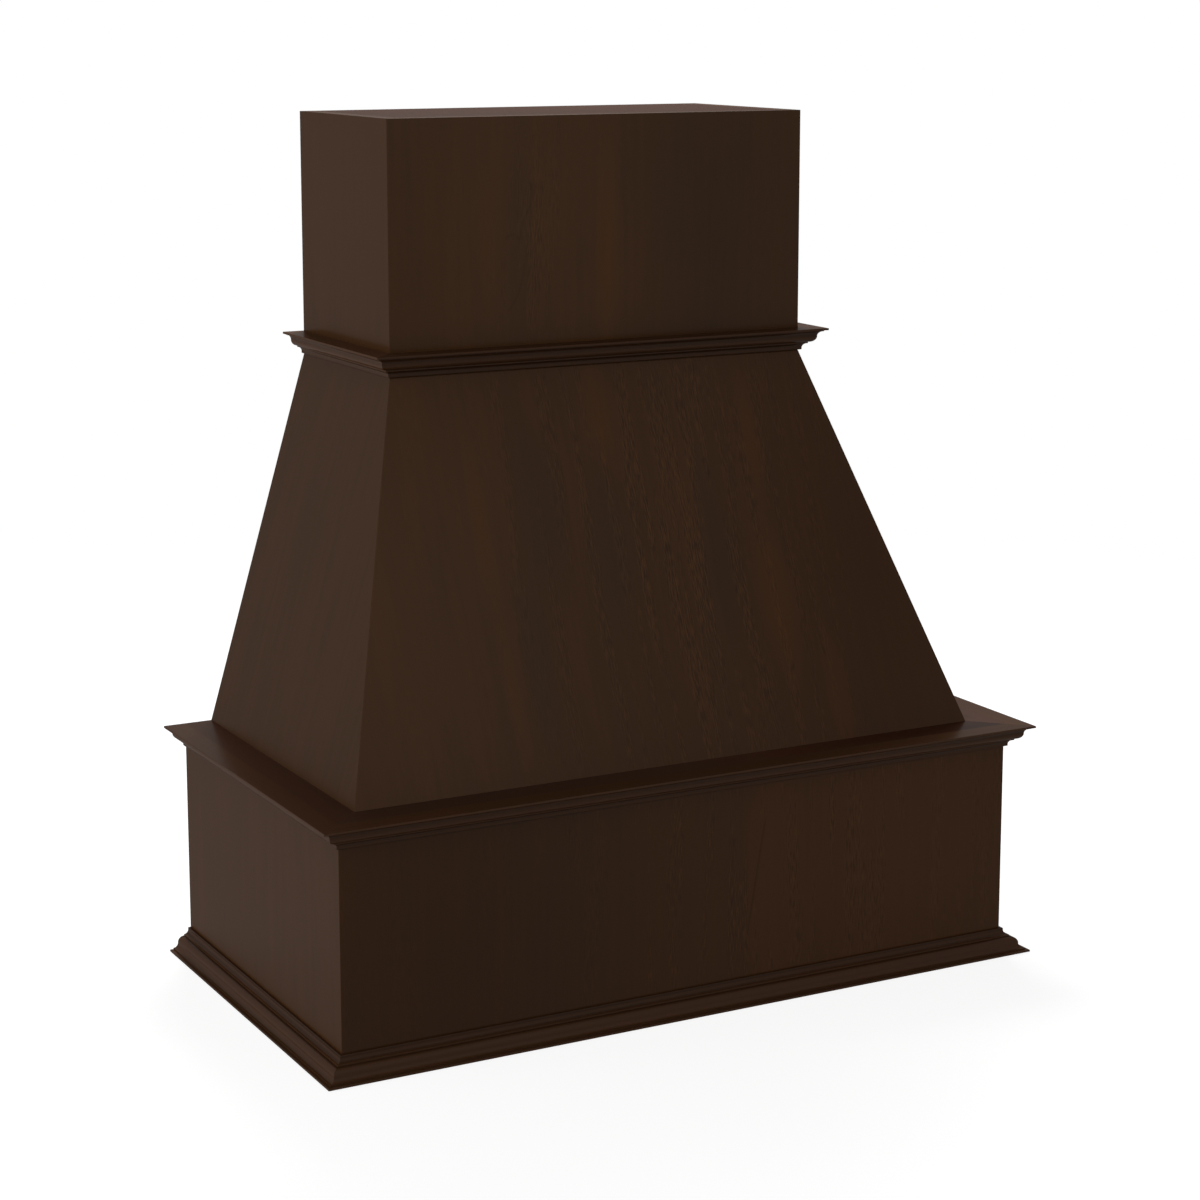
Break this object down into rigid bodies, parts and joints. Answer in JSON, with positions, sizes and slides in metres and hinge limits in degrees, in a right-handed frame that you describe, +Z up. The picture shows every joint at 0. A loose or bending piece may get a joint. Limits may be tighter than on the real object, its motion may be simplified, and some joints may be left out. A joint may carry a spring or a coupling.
{
  "type": "wooden range hood cover",
  "caption": "Wall-hung wooden range hood cover: plain apron box, flat moulded shelf, canopy tapering at front and sides, and a closed chimney box, in dark stained wood.",
  "frame": {"origin": "at the bottom, in the middle of the hood's outer box: centred between the sides, and midway between the wall plane and the front lip of the mouldings", "axes": "+Z up, +Y square to the wall and into it, +X to the right of someone facing the front"},
  "size_m": [0.9714, 0.5238, 1.0668],
  "materials": {
    "stained_panel": "dark espresso stain under satin lacquer, vertical grain",
    "stained_moulding": "dark espresso stain under satin lacquer, grain along the length",
    "frame_strip": "raw planed poplar",
    "glue_block": "raw sawn pine",
    "zinc_screws": "zinc plated"
  },
  "bodies": {
    "root": {"apron_back_rail": "frame_strip", "apron_corner_blocks": "glue_block", "apron_front": "stained_panel", "apron_left": "stained_panel", "apron_right": "stained_panel", "base_moulding_front": "stained_moulding", "base_moulding_left": "stained_moulding", "base_moulding_right": "stained_moulding", "canopy_corner_blocks": "glue_block", "canopy_foot_rail": "frame_strip", "canopy_front": "stained_panel", "canopy_left": "stained_panel", "canopy_neck_rail": "frame_strip", "canopy_right": "stained_panel", "chimney_back_rail": "frame_strip", "chimney_cleat_front": "frame_strip", "chimney_cleat_left": "frame_strip", "chimney_cleat_right": "frame_strip", "chimney_corner_blocks": "glue_block", "chimney_foot_rail": "frame_strip", "chimney_front": "stained_panel", "chimney_left": "stained_panel", "chimney_right": "stained_panel", "chimney_top": "stained_panel", "foot_screws": "zinc_screws", "foot_strip_front": "frame_strip", "foot_strip_left": "frame_strip", "foot_strip_right": "frame_strip", "ledger_back": "frame_strip", "ledger_front": "frame_strip", "ledger_left": "frame_strip", "ledger_right": "frame_strip", "ledger_screws": "zinc_screws", "middle_crown_front": "stained_moulding", "middle_crown_left": "stained_moulding", "middle_crown_right": "stained_moulding", "neck_screws": "zinc_screws", "neck_strip_front": "frame_strip", "neck_strip_left": "frame_strip", "neck_strip_right": "frame_strip", "shelf_cleat_front": "frame_strip", "shelf_cleat_left": "frame_strip", "shelf_cleat_right": "frame_strip", "shelf_cleat_screws": "zinc_screws", "shelf_front": "stained_panel", "shelf_left": "stained_panel", "shelf_right": "stained_panel", "top_cleat_front": "frame_strip", "top_cleat_left": "frame_strip", "top_cleat_right": "frame_strip", "top_screws": "zinc_screws", "upper_crown_front": "stained_moulding", "upper_crown_left": "stained_moulding", "upper_crown_right": "stained_moulding"}
  },
  "joints": []
}
